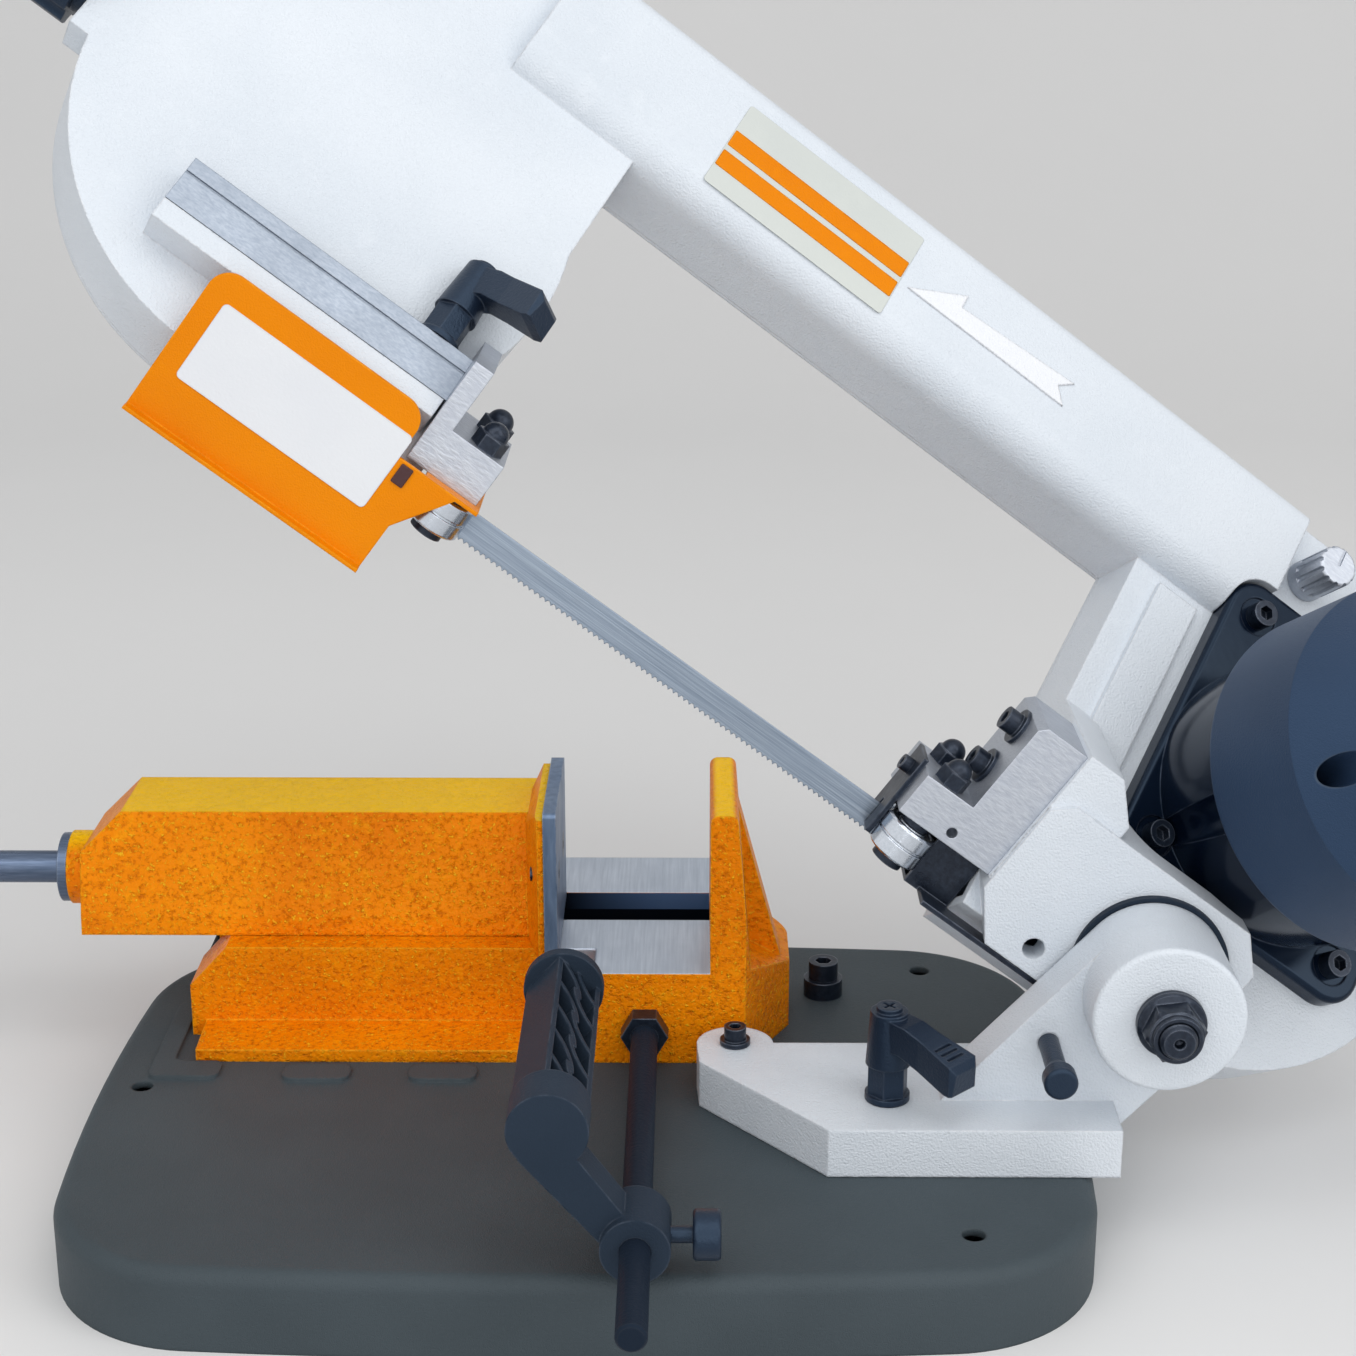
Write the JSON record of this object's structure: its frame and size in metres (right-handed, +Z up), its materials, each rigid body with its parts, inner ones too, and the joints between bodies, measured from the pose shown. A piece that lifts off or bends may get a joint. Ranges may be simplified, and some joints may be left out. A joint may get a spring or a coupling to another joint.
{
  "type": "metal cutting band saw",
  "caption": "Bench-top metal cutting band saw: a leaning bow with toothed blade loop on a swivelling hinge arm over a cast screw vise.",
  "frame": {"origin": "middle of the bounding box, at the bench", "axes": "+X along the lowered blade towards the motor, +Y away from the operator, +Z up"},
  "size_m": [0.7236, 0.3662, 0.567],
  "materials": {
    "white_coat": "satin white coat on a casting",
    "orange_coat": "rough orange coat on a casting",
    "orange_sheet": "smooth orange coat on sheet steel",
    "pan_coat": "fine textured dark grey coat",
    "bright_steel": "ground and zinc plated steel",
    "blade_steel": "rolled blade steel",
    "black_steel": "blackened steel",
    "bracket_alloy": "sawn and milled aluminium",
    "gloss_black": "gloss black",
    "dark_plastic": "matt moulded dark grey",
    "black_plastic": "matt black",
    "bronze": "plain bronze",
    "seal_rubber": "matt black"
  },
  "bodies": {
    "base": {"base_pan": "pan_coat", "vise_bed": "orange_coat", "vise_nut": "bronze", "mitre_stop": "black_steel", "mitre_stop_screw": "black_steel", "stop_rod": "black_steel", "stop_rod_nut": "black_steel", "pivot_screw": "black_steel"},
    "swivel": {"swivel_arm": "white_coat", "hinge_bushes": "bronze"},
    "swivel_lock": {"swivel_lock_lever": "black_plastic"},
    "lock_pin": {"bow_lock_pin": "black_plastic"},
    "bow": {"bow_frame": "white_coat", "hinge_pin": "black_steel", "hinge_washer": "black_steel", "hinge_nut": "black_steel", "hinge_seal": "seal_rubber", "rear_cover": "white_coat", "rear_cover_screws": "bright_steel", "blade": "blade_steel", "gear_housing": "gloss_black", "gear_housing_bolts": "black_steel", "motor_cover": "dark_plastic", "motor_cover_screws": "black_steel", "feed_handle": "black_plastic", "right_guide_bracket": "bracket_alloy", "right_guide_screws": "black_steel", "right_roller_pins": "black_steel", "blade_scraper": "black_steel", "scraper_screw": "black_steel", "blade_channel": "black_steel"},
    "drive": {"drive_wheel": "bracket_alloy", "drive_shaft": "bright_steel"},
    "tension": {"tension_carriage": "bright_steel", "tension_clip": "bright_steel"},
    "idler": {"tension_wheel": "bracket_alloy"},
    "tensioner": {"tension_knob": "black_plastic"},
    "speed_dial": {"speed_knob": "bracket_alloy"},
    "switch": {"trigger": "black_plastic"},
    "left_guide": {"guide_rail": "bracket_alloy", "left_guide_bracket": "bracket_alloy", "left_roller_pins": "black_steel", "blade_guard": "orange_sheet"},
    "guide_clamp": {"guide_clamp_lever": "black_plastic"},
    "roller_right_front": {"right_front_roller": "bright_steel"},
    "roller_right_back": {"right_back_roller": "bright_steel"},
    "roller_left_front": {"left_front_roller": "bright_steel"},
    "roller_left_back": {"left_back_roller": "bright_steel"},
    "jaw": {"moving_jaw": "orange_coat", "jaw_plate": "black_steel", "jaw_plate_screws": "black_steel"},
    "spindle": {"vise_screw": "black_steel", "handwheel": "black_plastic"},
    "grip": {"handwheel_grip": "black_plastic"},
    "stop": {"work_stop": "black_plastic"},
    "stop_screw": {"stop_clamp_screw": "black_plastic"}
  },
  "joints": [
    {"name": "swivel", "type": "hinge", "parent": "base", "child": "swivel", "pos_m": [0.03595, 0.02188, 0.032], "axis": [0, 0, 1], "range_deg": [0, 60]},
    {"name": "bow_hinge", "type": "hinge", "parent": "swivel", "child": "bow", "pos_m": [0.19595, 0.02188, 0.097], "axis": [0, 1, 0], "range_deg": [-36.9, 0], "stiffness_Nm_per_rad": 22, "springref_deg": 85.94},
    {"name": "swivel_lock", "type": "hinge", "parent": "swivel", "child": "swivel_lock", "pos_m": [0.09395, -0.02412, 0.062], "axis": [0, 0, 1], "range_deg": [-70, 0]},
    {"name": "bow_lock", "type": "slide", "parent": "swivel", "child": "lock_pin", "axis": [0, 1, 0], "range_m": [0, 0.02]},
    {"name": "guide_slide", "type": "slide", "parent": "bow", "child": "left_guide", "axis": [0.7997, 0, -0.6004], "range_m": [0, 0.065]},
    {"name": "guide_clamp", "type": "hinge", "parent": "bow", "child": "guide_clamp", "pos_m": [-0.07365, 0.03475, 0.3409], "axis": [0.4599, 0.6428, 0.6126], "range_deg": [-60, 0]},
    {"name": "blade_drive", "type": "hinge", "parent": "bow", "child": "drive", "pos_m": [0.23696, 0.07628, 0.12064], "axis": [0.3859, -0.766, 0.514], "continuous": true},
    {"name": "tension_turn", "type": "hinge", "parent": "bow", "child": "tensioner", "pos_m": [-0.21029, 0.06777, 0.46537], "axis": [0.7997, 0, -0.6004], "range_deg": [0, 720]},
    {"name": "tension_slide", "type": "slide", "parent": "bow", "child": "tension", "axis": [0.7997, 0, -0.6004], "range_m": [0, 0.003]},
    {"name": "idler_turn", "type": "hinge", "parent": "tension", "child": "idler", "pos_m": [-0.12421, 0.07628, 0.39182], "axis": [0.3859, -0.766, 0.514], "continuous": true},
    {"name": "speed_turn", "type": "hinge", "parent": "bow", "child": "speed_dial", "pos_m": [0.28517, 0.13833, 0.21583], "axis": [0.3859, -0.766, 0.514], "range_deg": [0, 270]},
    {"name": "trigger_pull", "type": "slide", "parent": "bow", "child": "switch", "axis": [-0.7997, 0, 0.6004], "range_m": [0, 0.005], "stiffness_N_per_m": 900, "springref_m": -0.002},
    {"name": "roller_right_front_turn", "type": "hinge", "parent": "bow", "child": "roller_right_front", "pos_m": [0.10098, 0.01026, 0.14705], "axis": [0.6004, 0, 0.7997], "continuous": true},
    {"name": "roller_right_back_turn", "type": "hinge", "parent": "bow", "child": "roller_right_back", "pos_m": [0.10098, 0.03351, 0.14705], "axis": [0.6004, 0, 0.7997], "continuous": true},
    {"name": "roller_left_front_turn", "type": "hinge", "parent": "left_guide", "child": "roller_left_front", "pos_m": [-0.07419, 0.01026, 0.27857], "axis": [0.6004, 0, 0.7997], "continuous": true},
    {"name": "roller_left_back_turn", "type": "hinge", "parent": "left_guide", "child": "roller_left_back", "pos_m": [-0.07419, 0.03351, 0.27857], "axis": [0.6004, 0, 0.7997], "continuous": true},
    {"name": "jaw_slide", "type": "slide", "parent": "base", "child": "jaw", "axis": [1, 0, 0], "range_m": [-0.057, 0.0625]},
    {"name": "vise_turn", "type": "hinge", "parent": "jaw", "child": "spindle", "pos_m": [-0.30585, 0.11388, 0.0906], "axis": [1, 0, 0], "range_deg": [-3420, 3750]},
    {"name": "grip_turn", "type": "hinge", "parent": "spindle", "child": "grip", "pos_m": [-0.33585, 0.11388, 0.1156], "axis": [1, 0, 0], "continuous": true},
    {"name": "stop_slide", "type": "slide", "parent": "base", "child": "stop", "axis": [0, 1, 0], "range_m": [-0.045, 0]},
    {"name": "stop_screw_turn", "type": "hinge", "parent": "stop", "child": "stop_screw", "pos_m": [0.01895, -0.11812, 0.048], "axis": [1, 0, 0], "range_deg": [0, 180]}
  ],
  "couplings": [
    {"joint": "idler_turn", "follows": "blade_drive", "ratio": 1},
    {"joint": "roller_right_front_turn", "follows": "blade_drive", "ratio": -7.6932},
    {"joint": "roller_right_back_turn", "follows": "blade_drive", "ratio": 7.6932},
    {"joint": "roller_left_front_turn", "follows": "blade_drive", "ratio": -7.6932},
    {"joint": "roller_left_back_turn", "follows": "blade_drive", "ratio": 7.6932},
    {"joint": "tension_turn", "follows": "tension_slide", "rad_per_m": 4188.8},
    {"joint": "vise_turn", "follows": "jaw_slide", "rad_per_m": 1047.2}
  ]
}
